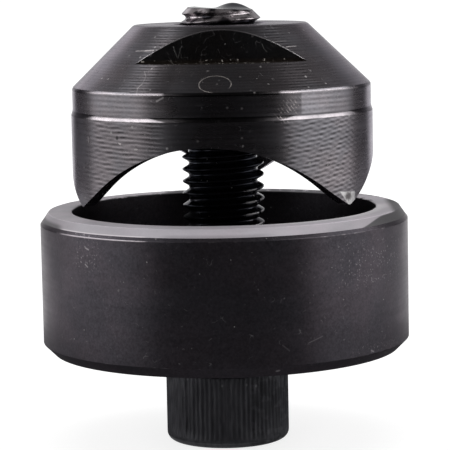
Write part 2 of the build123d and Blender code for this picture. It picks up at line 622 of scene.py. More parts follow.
@dataclass(frozen=True)
class BlackenedSteel:
    """A blackened steel finish.

    Args:
        name: The material's name.
        warm: The browner of its two tones.
        cool: The bluer of its two tones.
        roughness: How broad its gloss is.
        grain_pitch: The pitch of its turning lines in millimetres.
        grain_depth: Their depth in millimetres.
        grain_length: How far each one runs round the axis, in millimetres.
        chatter_depth: The depth of its chatter marks in millimetres, or 0 for none.
        chatter_shade: How much darker their valleys are, partly dirt and partly painted shade and
            reflection contrast.
        chatter_waves: The two waves of the chatter, as the effect takes them.
        chatter_end: The heights where it starts to fade and has gone.
        anisotropy: How much more its gloss spreads across the turning lines.
        rub: The colour of the steel where an edge is rubbed.
        rubbed: How much of the edges is rubbed.
        dust: The size of the dust specks in millimetres.
        dust_spacing: How far apart they are in millimetres.
        scratched: The share of the surface with scratches.
        scratch_length: The length of a scratch in millimetres.
        grazing: The tint of its gloss at a grazing angle.
        metallic: How much of it is bare metal; the rest is the oxide's own matt colour.
        feed: The pitch of the tool's feed lines in millimetres.
        feed_depth: Their depth in millimetres.
        feed_shade: How much the colour changes across them, partly their own tone and partly a
            painted highlight where they are clear.
        speckle: How much its colour changes from grain to grain.
        cloud_size: The size in millimetres of the blotches where one tone turns to the other.
    """

    name: str
    warm: Colour
    cool: Colour
    roughness: float
    grain_pitch: float = 0.35
    grain_depth: float = 0.002
    grain_length: float = 9.0
    chatter_depth: float = 0.0
    chatter_shade: float = 0.5
    chatter_waves: tuple[Point, Point] = ((0.1022, 0.30, -1.72), (-0.168, -0.58, -1.24))
    chatter_end: tuple[float, float] = (47.9, 48.15)
    anisotropy: float = 0.0
    rub: Colour = (0.30, 0.28, 0.29)
    rubbed: float = 0.5
    dust: float = 0.16
    dust_spacing: float = 1.5
    scratched: float = 0.4
    scratch_length: float = 1.6
    grazing: Colour = (1.0, 1.0, 1.0)
    metallic: float = 1.0
    feed: float = 0.74
    feed_depth: float = 0.0
    feed_shade: float = 0.0
    speckle: float = 0.2
    cloud_size: float = 7.0

    def build(self, effects: Effects, special: Callable[[Coat], None]) -> bpy.types.Material:
        """The material.

        Args:
            effects: The shared effects.
            special: What lays on the marks of one piece only.

        Returns:
            The new material.
        """
        material = bpy.data.materials.new(self.name)
        material.use_nodes = True
        material.diffuse_color = (*self.warm, 1.0)
        net = Net(material.node_tree)
        place = net.scaled(net.read("ShaderNodeTexCoord", "Object"), 1 / MILLIMETRE)
        turning = {"Pitch": self.grain_pitch, "Length": self.grain_length, "Feed": self.feed}
        specks = {"Spacing": self.dust_spacing, "Size": self.dust}
        hairs = {"Length": self.scratch_length, "Share": self.scratched}
        rubbing = {"Edge": net.edges(), "Amount": self.rubbed}
        grain = net.effect(effects.grain, Place=place, **turning)
        cloud = net.effect(effects.cloud, Place=place, Size=self.cloud_size)["Cloud"]
        dust = net.effect(effects.dust, Place=place, **specks)["Mask"]
        scratch = net.effect(effects.scratch, Place=place, **hairs)["Mask"]
        wear = net.effect(effects.wear, Place=place, **rubbing)["Mask"]
        # The feed lines' colour contrast is partly their own tone and partly a painted highlight
        # where they are clear.
        bands = (grain["Bands"] - 0.5) * 0.5 + 1.0 + grain["Lines"] * self.feed_shade
        bands = bands + (net.noise(place, 3.1, 2.0, 0.6) - 0.5) * (self.speckle * 2.0)
        rough = (cloud - 0.5) * 0.05 + (grain["Height"] - 0.5) * 0.12 + self.roughness
        height = grain["Height"] * self.grain_depth + grain["Lines"] * self.feed_depth
        coat = Coat(net, place, net.mix(cloud, self.warm, self.cool), rough)
        if self.chatter_depth > 0:
            first, second = self.chatter_waves
            start, gone = self.chatter_end
            marks = net.effect(effects.chatter, Place=place, First=first, Second=second)["Height"]
            marks = (marks - 0.5) * coat.z.step(gone, start) + 0.5
            # The chatter's colour contrast: dirt in the valleys, and painted shade and reflection
            # where the marks are clear.
            bands = bands + (marks * 1.1 - 0.5) * self.chatter_shade
            height = height + marks * self.chatter_depth
        coat.tone(bands)
        coat.mark(wear, self.rub)
        coat.mark(scratch, (0.30, 0.29, 0.30), 0.45)
        coat.mark(dust, (0.60, 0.59, 0.58), 0.7)
        coat.roughen(dust | scratch * 0.6, 0.5)
        special(coat)
        bump = {"Strength": 1.0, "Distance": MILLIMETRE, "Height": height}
        gloss = {
            "Base Color": coat.colour,
            "Roughness": coat.rough,
            "Metallic": self.metallic,
            "Specular Tint": self.grazing,
            "Normal": net.read("ShaderNodeBump", "Normal", bump),
        }
        if self.anisotropy > 0:
            gloss["Anisotropic"], gloss["Anisotropic Rotation"] = self.anisotropy, 0.25
            gloss["Tangent"] = net.read("ShaderNodeTangent", 0, direction_type="RADIAL", axis="Z")
        shader = net.read("ShaderNodeBsdfPrincipled", 0, gloss)
        net.add("ShaderNodeOutputMaterial", {"Surface": shader})
        return material


DIE_STEEL = BlackenedSteel(
    "die_blackened_steel",
    warm=(0.069, 0.060, 0.070), cool=(0.063, 0.058, 0.068), rub=(0.20, 0.185, 0.195),
    roughness=0.34, metallic=0.86, grazing=(0.72, 0.70, 0.72), anisotropy=0.25,
    grain_pitch=0.5, grain_depth=0.0012, dust=0.12, speckle=0.45,
)
GROUND_STEEL = BlackenedSteel(
    "rim_ground_steel",
    warm=(0.415, 0.380, 0.415), cool=(0.395, 0.375, 0.405), rub=(0.60, 0.57, 0.60),
    roughness=0.48, metallic=0.25, grain_pitch=0.6, grain_depth=0.0008,
    rubbed=0.4, dust=0.10, scratched=0.30, speckle=0.06,
)
PUNCH_STEEL = BlackenedSteel(
    "punch_turned_steel",
    warm=(0.186, 0.168, 0.178), cool=(0.168, 0.162, 0.176), rub=(0.46, 0.425, 0.445),
    roughness=0.28, grazing=(0.82, 0.79, 0.85), anisotropy=0.5,
    grain_pitch=0.30, grain_depth=0.003, chatter_depth=0.026, chatter_shade=0.9,
    feed_depth=0.004, feed_shade=0.60, rubbed=1.3, dust=0.22,
)
MILLED_STEEL = BlackenedSteel(
    "milled_flat_steel",
    warm=(0.085, 0.078, 0.078), cool=(0.075, 0.075, 0.080),
    roughness=0.36, grain_pitch=0.8, grain_depth=0.001, rubbed=0.2, scratched=0.50,
)
SCREW_STEEL = BlackenedSteel(
    "screw_black_oxide",
    warm=(0.040, 0.036, 0.041), cool=(0.034, 0.037, 0.046), rub=(0.22, 0.21, 0.22),
    roughness=0.14, metallic=0.9, grazing=(0.6, 0.6, 0.62), grain_pitch=0.25, grain_depth=0.001,
    rubbed=0.3, scratched=0.3,
)


# Die


@dataclass
class DieCup:
    """The cup that backs the sheet: a turned ring with a floor and a hole for the screw."""

    outer_r: float = 26.69
    shoulder_r: float = 26.3
    rim_flat_r: float = 25.5
    mouth_r: float = 22.1
    hole_r: float = 6.005
    hole_lead_in: float = 0.5
    base_z: float = 13.6
    base_chamfer: float = 1.5
    floor_z: float = 19.0
    waist_z: float = 32.35
    shoulder_z: float = 32.85
    rim_z: float = 34.0
    corner_radius: float = 1.0
    edge_radius: float = 0.07
    shoulder_radius: float = 0.22
    mouth_radius: float = 0.13
    columns: int = 288
    scratches: tuple[Mark, ...] = (
        ((11.1, -24.3, 18.0), (13.1, -23.2, 18.75), 0.11, 0.20),
        ((7.6, -25.6, 18.0), (8.5, -25.3, 17.2), 0.14, 0.14),
        ((6.8, -25.1, 14.4), (7.0, -25.0, 14.5), 0.30, 0.60),
        ((-19.1, -18.6, 30.9), (-18.7, -19.0, 30.7), 0.16, 0.50),
        ((-19.2, -18.5, 28.6), (-18.9, -18.8, 28.3), 0.16, 0.45),
        ((20.1, -17.6, 15.6), (20.4, -17.2, 15.4), 0.16, 0.45),
    )

    def section(self) -> tuple[Array, Array]:
        """The half section, as in the solid.

        Returns:
            Its corners as radius and height, and their roundings.
        """
        lead_r = self.hole_r + self.hole_lead_in
        corners = np.array([
            (lead_r, self.base_z),
            (self.outer_r - self.base_chamfer, self.base_z),
            (self.outer_r, self.base_z + self.base_chamfer),
            (self.outer_r, self.waist_z),
            (self.shoulder_r, self.shoulder_z),
            (self.rim_flat_r, self.rim_z),
            (self.mouth_r, self.rim_z),
            (self.mouth_r, self.floor_z),
            (lead_r, self.floor_z),
            (self.hole_r, self.floor_z - self.hole_lead_in),
            (self.hole_r, self.base_z + self.hole_lead_in),
        ])
        radii = np.full(len(corners), self.edge_radius)
        radii[3:5] = self.shoulder_radius
        radii[6:8] = self.mouth_radius, self.corner_radius
        return corners, radii

    def build(self, effects: Effects) -> bpy.types.Object:
        """The cup as one turned mesh, blackened, with its rim and the rim's chamfer ground bare.

        Args:
            effects: The shared effects.

        Returns:
            The cup.
        """
        rows, edge = soft_corners(*self.section(), closed=True)
        azimuths = np.linspace(-math.pi, math.pi, self.columns, endpoint=False)
        grid = turned_grid(azimuths, rows[None, :, 0], rows[None, :, 1])
        middle_r, middle_z = ((rows + np.roll(rows, -1, axis=0)) / 2).T
        ground = (middle_z > self.shoulder_z) & (middle_r > self.mouth_r)
        skin = np.where(ground, Skin.SECOND.value, Skin.MAIN.value)
        piece = as_piece("die_cup", ring_sheet(grid, edge, closed=True, skin_rows=skin))
        piece.data.materials.append(DIE_STEEL.build(effects, self.wall_marks))
        piece.data.materials.append(GROUND_STEEL.build(effects, self.rim_marks))
        return piece

    def wall_marks(self, coat: Coat) -> None:
        """Lays two pale lines on the shoulder's edges at the front left, which are painted edge
        highlights, a mottle on the wall, crumbs of grit in three patches of it, and a few
        scratches.

        Args:
            coat: The coat that takes them.
        """
        x, y, z = coat.x, coat.y, coat.z
        # Painted highlight: pale lines along the waist and shoulder edges at the front left.
        line = coat.net.edges() * x.band(-23.2, -22.4, -11.4, -10.2) * y.step(0.0, -1.0)
        coat.tone(coat.noise(1.5, 3.0, 0.7) * 0.70 + 0.65)
        coat.mark(line * z.step(self.waist_z - 0.3, self.waist_z - 0.1), (0.48, 0.44, 0.47), 0.75)
        high = x.step(13.5, 17.5) * z.band(24.0, 25.5, 30.6, 31.6)
        low = x.step(16.0, 19.0) * z.step(17.0, 15.8)
        left = abs(x + 19.0).step(2.4, 1.2) * z.step(27.0, 28.5)
        grit = coat.noise(3.2, 1.0).step(0.61, 0.74) * (high | low | left) * y.step(0.0, -2.0)
        marks = grit * 0.36 | coat.net.drawn(coat.place, self.scratches)
        coat.mark(marks, (0.50, 0.47, 0.49), rough=0.3)

    def rim_marks(self, coat: Coat) -> None:
        """Lays on the marks of the ground rim: a pale lower edge at the front left, which is a
        painted highlight, painted shade on the chamfer at the left and the right, a pale lip at the
        front, which is a painted highlight, and edges that are nicked and dull at the back. The
        chamfer's tone
        is painted light and shade: it is paler at the front than at the sides, the flat above it is
        paler towards the right, and the chamfer's foot is darker in the middle.

        Args:
            coat: The coat that takes them.
        """
        x, y, z, radius, foot_z = coat.x, coat.y, coat.z, coat.radius, self.shoulder_z
        # Painted highlight: a pale line along the chamfer's foot at the front left.
        line = x.band(-23.2, -22.4, -11.4, -10.2) * y.step(0.0, -1.0)
        coat.mark(line * z.step(foot_z + 0.16, foot_z + 0.06), (0.80, 0.75, 0.78), 0.7)
        # Painted shade: the chamfer darkened at the far left and, below a slanted line, at the
        # right.
        left = x.step(-22.2, -23.6) * z.step(foot_z + 0.75, foot_z + 0.25) * y.step(6.0, 2.0)
        coat.mark(left, (0.10, 0.095, 0.10), 0.85)
        painted_shade_top = x.step(18.3, 22.5) * 1.15 + (foot_z - 0.10)
        right = ((z - painted_shade_top).step(0.10, -0.10) | x.step(23.4, 24.6)) * y.step(9.0, 5.0)
        coat.mark(right, (0.055, 0.052, 0.056), 0.96)
        bites = coat.noise(0.75, 3.0, 0.6)
        inner = (bites * -3.4 + radius).step(self.mouth_r - 1.1, self.mouth_r - 1.5)
        outer = (bites * 3.0 + radius).step(self.rim_flat_r + 1.4, self.rim_flat_r + 1.7)
        dull = x.band(-9.6, -8.2, 15.5, 18.5) * y.step(12.0, 15.0) * bites.step(0.62, 0.56)
        coat.mark((inner | outer) * y.step(3.0, 7.0) | dull, (0.07, 0.07, 0.075), 0.85, 0.70)
        # Painted light and shade: the chamfer paler at the front, the flat paler to the right, the
        # chamfer's foot darker in the middle.
        chamfer = z.step(self.rim_z - 0.03, self.rim_z - 0.10)
        sloped = abs(x).step(5.0, 18.0) * -0.42 + 1.26
        flat = x.step(-4.0, 12.0) * 0.22 + 1.20
        foot = z.step(foot_z + 0.55, foot_z + 0.10) * x.band(-9.5, -7.0, 4.0, 7.0)
        coat.tone((chamfer * (sloped - flat) + flat) * (foot * -0.27 + 1.0))
        # Painted highlight: a pale lip on the flat beside the mouth at the front.
        lip = radius.step(self.mouth_r + 1.9, self.mouth_r + 0.5) * y.step(2.0, -2.0)
        coat.mark(lip * x.step(2.0, 10.0), (0.92, 0.90, 0.92), 0.55)


# Punch

PUNCH_SCRATCHES: tuple[Mark, ...] = (
    ((-11.82, -10.61, 57.42), (-10.52, -11.84, 57.48), 0.12, 0.50),
    ((-10.52, -11.84, 57.48), (-9.31, -12.71, 57.54), 0.16, 0.85),
    ((9.14, -12.68, 57.66), (10.50, -11.47, 57.70), 0.13, 0.50),
    ((7.14, -12.97, 58.46), (9.12, -11.67, 58.46), 0.12, 0.22),
    ((-8.85, -19.67, 50.94), (-7.95, -20.05, 51.42), 0.16, 0.40),
    ((-10.54, -15.38, 54.74), (-10.32, -16.32, 54.10), 0.10, 0.30),
    ((-10.32, -16.32, 54.10), (-10.86, -17.09, 53.18), 0.10, 0.25),
    ((-10.86, -17.09, 53.18), (-11.48, -17.38, 52.62), 0.13, 0.45),
    ((-11.48, -17.38, 52.62), (-11.54, -17.83, 52.22), 0.10, 0.35),
    ((-18.82, -11.00, 45.58), (-18.75, -11.12, 44.86), 0.12, 0.30),
    ((-12.07, -18.15, 44.30), (-11.72, -18.38, 44.30), 0.13, 0.50),
    ((-14.25, -16.50, 45.02), (-14.05, -16.67, 44.95), 0.15, 0.60),
)
PUNCH_SPECKS: tuple[Mark, ...] = tuple(
    ((x, y, z), (x + 0.06, y, z), 0.19, 0.50)
    for x, y, z in (
        (2.56, -19.21, 54.02), (6.39, -19.43, 52.98), (4.43, -21.03, 51.98),
        (2.69, -21.40, 49.86), (2.62, -21.64, 45.86), (14.37, -15.02, 52.66),
        (-0.62, -20.28, 53.14), (-3.38, -21.54, 45.54), (-1.78, -18.43, 54.86),
        (-2.31, -17.29, 55.90), (0.71, -21.56, 49.98),
    )
)
FLAT_HAIRS: tuple[Mark, ...] = (
    ((-6.52, -13.0, 57.99), (-6.33, -13.0, 57.29), 0.10, 0.8),
    ((-6.33, -13.0, 57.29), (-6.06, -13.0, 56.60), 0.10, 0.6),
    ((-5.56, -13.0, 57.69), (-5.93, -13.0, 56.45), 0.09, 0.6),
    ((5.75, -13.0, 58.16), (5.95, -13.0, 57.60), 0.09, 0.8),
    ((5.95, -13.0, 57.60), (6.42, -13.0, 57.04), 0.09, 0.6),
    ((-6.92, -13.0, 56.10), (-6.79, -13.0, 55.80), 0.14, 0.8),
)


@dataclass
class CrownPunch:
    """The hollow cutter: three points on a crown, a stepped wall and a cone with wrench flats."""

    cutting_r: float = 21.8
    hollow_r: float = 20.0
    bore_r: float = 5.975
    bore_lead_in: float = 0.8
    points_z: float = 35.55
    ceiling_z: float = 46.55
    hollow_corner: float = 1.998
    band_z: float = 48.05
    relief_top_z: float = 48.65
    band_r: float = 21.57
    shoulder_z: float = 51.9
    top_z: float = 60.7
    top_r: float = 12.5
    edge_break: float = 0.15
    point_count: int = 3
    crown_turn: float = -6.0
    scallop_radius: float = 23.0
    flank_angle: float = 42.4
    point_blunting: float = 0.1
    half_flats: float = 13.0
    ledge_z: float = 55.7
    edge_radius: float = 0.05
    flat_break: float = 0.09
    column_step: float = 0.75
    pit: Point = (-14.51, -16.27, 45.78)
    ring_middle: Point = (-0.86, -20.26, 53.14)
    ring_radius: float = 2.2

    def drop(self, sideways: float | Array) -> float | Array:
        """How far a scallop's edge lies below its top: an arc, then a straight flank.

        Args:
            sideways: The distance from the scallop's middle.

        Returns:
            The drop.
        """
        flank = math.radians(self.flank_angle)
        on_arc = np.minimum(np.abs(sideways), self.scallop_radius * math.sin(flank))
        arc = self.scallop_radius - np.sqrt(self.scallop_radius**2 - on_arc**2)
        return arc + (np.abs(sideways) - on_arc) * math.tan(flank)

    def crown(self, azimuths: Array) -> Array:
        """The height of the cutting edge, never below the points.

        Args:
            azimuths: Azimuths in radians.

        Returns:
            The height at each one.
        """
        sector = math.tau / self.point_count
        top = self.points_z + self.drop(self.cutting_r * math.sin(sector / 2)) - self.point_blunting
        aside = (azimuths - math.radians(self.crown_turn) + sector / 2) % sector - sector / 2
        return np.maximum(top - self.drop(self.cutting_r * np.sin(aside)), self.points_z)

    def columns(self) -> Array:
        """The columns: even steps round the axis, and one at each corner of a point or a flat.

        Returns:
            Their azimuths in radians, in order.
        """
        sector = math.tau / self.point_count
        side = self.cutting_r * math.sin(sector / 2)
        side -= self.point_blunting / math.tan(math.radians(self.flank_angle))
        tip = math.asin(side / self.cutting_r)
        middles = math.radians(self.crown_turn) + sector * np.arange(self.point_count)[:, None]
        even = np.linspace(-tip, tip, int(math.degrees(2 * tip) / self.column_step))
        corner = math.acos(self.half_flats / self.cone_r(self.ledge_z))
        flats = [-corner, corner, math.pi - corner, corner - math.pi]
        every = np.concatenate([(middles + even).ravel(), flats])
        return np.sort((every + math.pi) % math.tau - math.pi)

    def cone_r(self, height: float | Array) -> float | Array:
        """The cone's radius at a height: a straight line from the top's rim to the shoulder."""
        slope = (self.band_r - self.top_r) / (self.top_z - self.shoulder_z)
        return self.top_r + (self.top_z - height) * slope

    def cone_z(self, radius: float | Array) -> float | Array:
        """The cone's height at a radius."""
        slope = (self.top_z - self.shoulder_z) / (self.band_r - self.top_r)
        return self.top_z - (radius - self.top_r) * slope

    def outer_section(self) -> tuple[Array, Array]:
        """The wall and the foot of the cone, up to the level of the flats' ledge. The slope of the
        step counts as an edge, so that it takes the pale rubbed colour that carries the painted
        highlight of the step on the front.

        Returns:
            The points as radius and height, and for each one 1 on an edge.
        """
        step, wall_low_z = self.edge_break, 45.0
        corners = np.array([
            (self.cutting_r, wall_low_z),
            (self.cutting_r, self.band_z),
            (self.band_r, self.relief_top_z),
            (self.band_r, self.shoulder_z - step),
            (self.band_r - step, self.cone_z(self.band_r - step)),
            (self.cone_r(self.ledge_z), self.ledge_z),
        ])
        radii = np.array([0.0, 0.10, 2.2, 0.4, self.edge_radius, 0.0])
        points, _ = soft_corners(corners, radii, closed=False)
        z = points[:, 1]
        slope = (z > self.band_z - 0.03) & (z < self.relief_top_z - 0.2)
        shoulder = np.abs(z - self.shoulder_z + step) < 0.11
        return points, np.where(slope | shoulder, 1.0, 0.0)

    def top_section(self) -> tuple[Array, Array]:
        """The top's rim, the bored hole and the hollow's ceiling, down to the hollow's wall.

        Returns:
            The points as radius and height, and for each one 1 on an edge.
        """
        step, lead = self.edge_break, self.bore_r + self.bore_lead_in
        start, wall_top_z = self.top_r + 0.28, 44.545
        corners = np.array([
            (start, self.cone_z(start)),
            (self.top_r + step, self.cone_z(self.top_r + step)),
            (self.top_r - step, self.top_z),
            (lead, self.top_z),
            (self.bore_r, self.top_z - self.bore_lead_in),
            (self.bore_r, self.ceiling_z + self.bore_lead_in),
            (lead, self.ceiling_z),
            (self.hollow_r, self.ceiling_z),
            (self.hollow_r, wall_top_z),
        ])
        radii = np.full(len(corners), self.edge_radius)
        radii[7] = self.hollow_corner
        return soft_corners(corners, radii, closed=False)

    def build(self, effects: Effects) -> bpy.types.Object:
        """The punch as one mesh: rows run from the cutting edge up the wall, over the ledge and
        the flat with its broken edge where there is one, up the cone, down the bore, and down the
        hollow's wall.

        Args:
            effects: The shared effects.

        Returns:
            The punch.
        """
        azimuths = self.columns()
        count = len(azimuths)
        edge_z = self.crown(azimuths)[:, None]
        (outer, outer_edge), (top, top_edge) = self.outer_section(), self.top_section()
        rise = np.array([0.0, 0.006, 0.1, 0.3, 0.55, 0.8])
        fall = np.array([0.45, 0.75, 0.94, 1.0])
        cone_share = np.array([0.35, 0.7])
        ledge_r = self.cone_r(self.ledge_z)
        facing = np.abs(np.cos(azimuths))[:, None]
        flat_r = np.minimum(self.half_flats / np.maximum(facing, 1e-6), ledge_r)
        present = np.clip((ledge_r - flat_r) / 0.25, 0.0, 1.0)
        low_z = self.cone_z(flat_r) - self.flat_break * present
        high_r = flat_r - self.flat_break * present
        hold = 0.02 * present
        cone_r = high_r + (top[0, 0] - high_r) * cone_share
        radius = side_by_side(
            count, np.full(rise.size, self.cutting_r), outer[:, 0], flat_r, flat_r, flat_r,
            high_r, high_r - hold, cone_r, top[:, 0], np.full(fall.size, self.hollow_r),
        )
        height = side_by_side(
            count, edge_z + (outer[0, 1] - edge_z) * rise, outer[:, 1], self.ledge_z,
            low_z - hold, low_z, self.cone_z(high_r), self.cone_z(high_r - hold),
            self.cone_z(cone_r), top[:, 1], top[-1, 1] + (edge_z - top[-1, 1]) * fall,
        )
        corner = np.where(present > 0.5, 1.0, 0.0)
        none = np.zeros
        edge = side_by_side(
            count, none(rise.size), outer_edge, none(2), corner, corner,
            none(1 + cone_share.size), top_edge, none(fall.size),
        )
        skin = np.full(edge.shape[1], Skin.MAIN.value)
        ledge_row = rise.size + len(outer) - 1
        skin[ledge_row:ledge_row + 3] = Skin.SECOND.value
        sheet = ring_sheet(turned_grid(azimuths, radius, height), edge, closed=True, skin_rows=skin)
        piece = as_piece("crown_punch", sheet)
        piece.data.materials.append(PUNCH_STEEL.build(effects, self.turned_marks))
        piece.data.materials.append(MILLED_STEEL.build(effects, self.flat_marks))
        return piece

    def flat_marks(self, coat: Coat) -> None:
        """Lays hairs, a brown foot and crumbs in its corner on the wrench flats.

        Args:
            coat: The coat that takes them.
        """
        z, low = coat.z, self.ledge_z
        coat.mark(coat.net.drawn(coat.place, FLAT_HAIRS) * 0.5, (0.50, 0.50, 0.48), rough=0.6)
        coat.mark(z.step(low + 0.7, low + 0.15), (0.16, 0.12, 0.09), 0.5)
        crumbs = coat.noise(2.4, 1.0).step(0.67, 0.71) * z.step(low + 0.5, low + 0.4)
        coat.mark(crumbs, (0.80, 0.76, 0.72), 0.9, 0.5)

    def turned_marks(self, coat: Coat) -> None:
        """Lays on a bare point, strokes, scratches, a ring rubbed into the cone, painted highlights
        and shade on the front, and a painted highlight on the flats' arched edges.

        The left point is a little paler. The ring is an ellipse, open at its lower right: where
        the stretched distance from a place on the cone is the ring's radius.

        Args:
            coat: The coat that takes them.
        """
        net, x, z = coat.net, coat.x, coat.z
        self.bare_tip(coat)
        turn = math.radians(self.crown_turn - 180.0 / self.point_count)
        tip = (self.cutting_r * math.sin(turn), -self.cutting_r * math.cos(turn), self.points_z)
        coat.mark(coat.away(tip).step(3.2, 1.0), (0.42, 0.41, 0.42), 0.35)
        aside = net.vector("SUBTRACT", coat.place, self.ring_middle)
        away = net.vector("LENGTH", net.vector("MULTIPLY", aside, (1.0, 1.446, 1.446)))
        gap = x.step(-1.5, -1.0) * z.step(52.75, 52.45)
        faint = coat.noise(0.9, 1.0).step(0.2, 0.6)
        ring = abs(away - self.ring_radius).step(0.11, 0.03) * (1.0 - gap)
        ring = ring * z.step(51.95, 52.1) * (faint * 0.5 + 0.4)
        strokes = self.strokes(coat)
        scratches = net.drawn(coat.place, PUNCH_SCRATCHES + PUNCH_SPECKS)
        # Painted highlights and shade on the front.
        coat.tone(self.shades(coat))
        coat.mark(strokes, (0.62, 0.56, 0.56))
        coat.mark(scratches, (0.66, 0.62, 0.62))
        coat.roughen(strokes | ring | scratches, 0.4)
        # Painted highlight: a pale line on the flats' arched edge, away from the middle.
        arc = z.band(self.ledge_z + 0.1, self.ledge_z + 0.3, 60.2, 60.35) * net.edges()
        coat.mark(arc * (faint * 0.30 + 0.20) * abs(x).step(2.0, 8.0), (0.80, 0.77, 0.79))
        coat.mark(coat.away(self.pit).step(0.34, 0.2), (0.03, 0.03, 0.03), 0.85)
        coat.mark(ring, (0.90, 0.84, 0.80))

    def shades(self, coat: Coat) -> Wire:
        """Painted highlights and shade on the front, as a factor of its colour.

        Only the front is told apart: the shoulder and the step carry a painted highlight between 8
        and
        19 mm to each side and are painted darker elsewhere, and on the step the streak tapers at
        its ends. The upper band has a painted sheen from 11 mm to the right, and the lower band and
        the foot of the cone have painted shade at the left.

        Args:
            coat: The coat that takes it.

        Returns:
            The factor.
        """
        x, z = coat.x, coat.z
        low, high, shoulder, ledge = self.band_z, self.relief_top_z, self.shoulder_z, self.ledge_z
        # Painted highlight on the step and the shoulder line, painted sheen on the upper band, and
        # painted shade at the sides and at the cone's foot.
        reach = abs(x).band(8.0, 11.5, 16.5, 19.5) * 0.75 + low
        taper = (z - reach).step(0.25, 0.0) | z.step(shoulder - 1.0, shoulder - 0.8)
        bright = abs(x).band(7.6, 8.4, 18.2, 20.0) * taper
        lines = z.band(shoulder - 0.4, shoulder - 0.3, shoulder + 0.1, shoulder + 0.2)
        lines = z.band(low - 0.05, low, high, high + 0.1) | lines
        painted_sheen = x.step(10.7, 11.1) * (x.step(12.0, 18.8) * -0.75 + 0.60)
        painted_sheen = painted_sheen + x.band(7.4, 8.6, 10.7, 11.1) * -0.22
        upper = z.band(high, high + 0.2, shoulder - 0.35, shoulder - 0.2)
        sides = x.step(-7.0, -11.0) * -0.22 + x.step(15.5, 18.5) * -0.20
        aside = x / coat.radius
        dark = aside.band(-0.52, -0.46, -0.38, -0.30) * z.step(ledge + 0.3, ledge - 0.3)
        foot = aside.band(-0.70, -0.62, -0.56, -0.42) * 0.40 + dark * -0.35
        change = lines * (bright * 0.96 - 0.84) + upper * painted_sheen
        change = change + z.step(low, low - 0.3) * sides + z.step(shoulder, shoulder + 0.3) * foot
        return coat.y.step(0.0, -3.0) * change + 1.0

    def bare_tip(self, coat: Coat) -> None:
        """Lays on the right point, ground bare below a line: pale, with a darker spot inside.

        A place is told by its height above the point and by its distance along the wall from it.

        Args:
            coat: The coat that takes it.
        """
        net = coat.net
        turn = math.radians(self.crown_turn + 180.0 / self.point_count)
        along = (net.azimuth(coat.x, coat.y) - turn) * self.cutting_r
        height = coat.z - self.points_z
        level = (coat.y + 12.8) * 0.11 + height + coat.noise(1.3) * 0.3
        spot = net.vector("DISTANCE", net.whole(along, height * 1.5, 0.0), (-0.35, 1.80, 0.0))
        grain = coat.noise(2.6) * 0.8
        left = height * -0.95 - 0.40
        bare = level.step(2.05, 1.85) * (along - left).step(-0.15, 0.20) * along.step(1.55, 1.2)
        pale = (grain + spot).step(0.75, 1.65) * (grain + 0.55)
        coat.mark(bare, net.mix(pale, (0.15, 0.14, 0.14), (0.66, 0.65, 0.65)), rough=0.12)

    def strokes(self, coat: Coat) -> Wire:
        """Slanted strokes over the right part of the step, where something brushed the wall.

        They are a sine across the slant, let through in a patch whose sides fade and lean the
        other way, and broken by noise.

        Args:
            coat: The coat that takes them.

        Returns:
            Their strength from 0 to 1.
        """
        height, period = coat.z - self.band_z, 0.50
        broken = coat.noise((1.3, 1.3, 1.9))
        across = (height * 0.72 + coat.x) * (math.tau / period)
        wave = coat.net.maths("SINE", across + broken * 7.0)
        patch = (height * -0.45 + coat.x).band(6.2, 8.2, 9.0, 10.4)
        patch = patch * coat.z.band(47.3, 48.3, 50.4, 51.4)
        return wave.step(0.25, 0.95) * broken.step(0.44, 0.58) * patch * 0.70


# Drive screw


